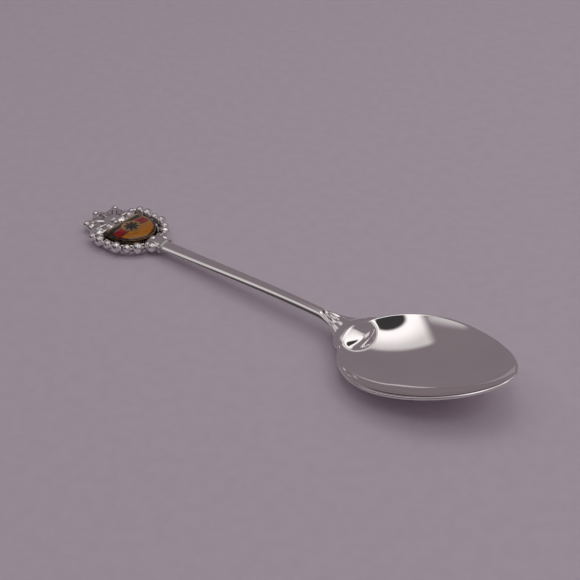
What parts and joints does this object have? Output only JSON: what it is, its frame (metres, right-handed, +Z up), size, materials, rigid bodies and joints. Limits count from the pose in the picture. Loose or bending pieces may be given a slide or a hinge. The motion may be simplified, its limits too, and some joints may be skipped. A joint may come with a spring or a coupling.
{
  "type": "souvenir spoon",
  "caption": "Plated souvenir spoon with an egg-shaped bowl, a slim stem and a cast beaded ornament that holds a coloured enamel shield under a coronet.",
  "frame": {"origin": "on the table, under the middle of the spoon's length and width", "axes": "+X from the ornament to the tip of the bowl, +Z up out of the open face, Y across"},
  "size_m": [0.11, 0.0288, 0.0101],
  "materials": {
    "silver_plate": "mirror-polished silver plate",
    "cast_silver": "bright silver plate over a casting, darker in the hollows",
    "solder": "plated-over silver solder",
    "gilt": "polished gilt metal",
    "cement": "set cement",
    "dark_enamel": "fired dark blue-black enamel",
    "black_enamel": "fired black enamel",
    "red_enamel": "fired red enamel",
    "gold_enamel": "fired gold-yellow enamel",
    "clear_resin": "clear domed resin"
  },
  "bodies": {
    "root": {"spoon_blank": "silver_plate", "finial_casting": "cast_silver", "solder_joint": "solder", "badge_tray": "gilt", "badge_cement": "cement", "border_enamel": "dark_enamel", "black_enamel": "black_enamel", "red_enamel": "red_enamel", "gold_enamel": "gold_enamel", "rosette_enamel": "dark_enamel", "clear_dome": "clear_resin"}
  },
  "joints": []
}
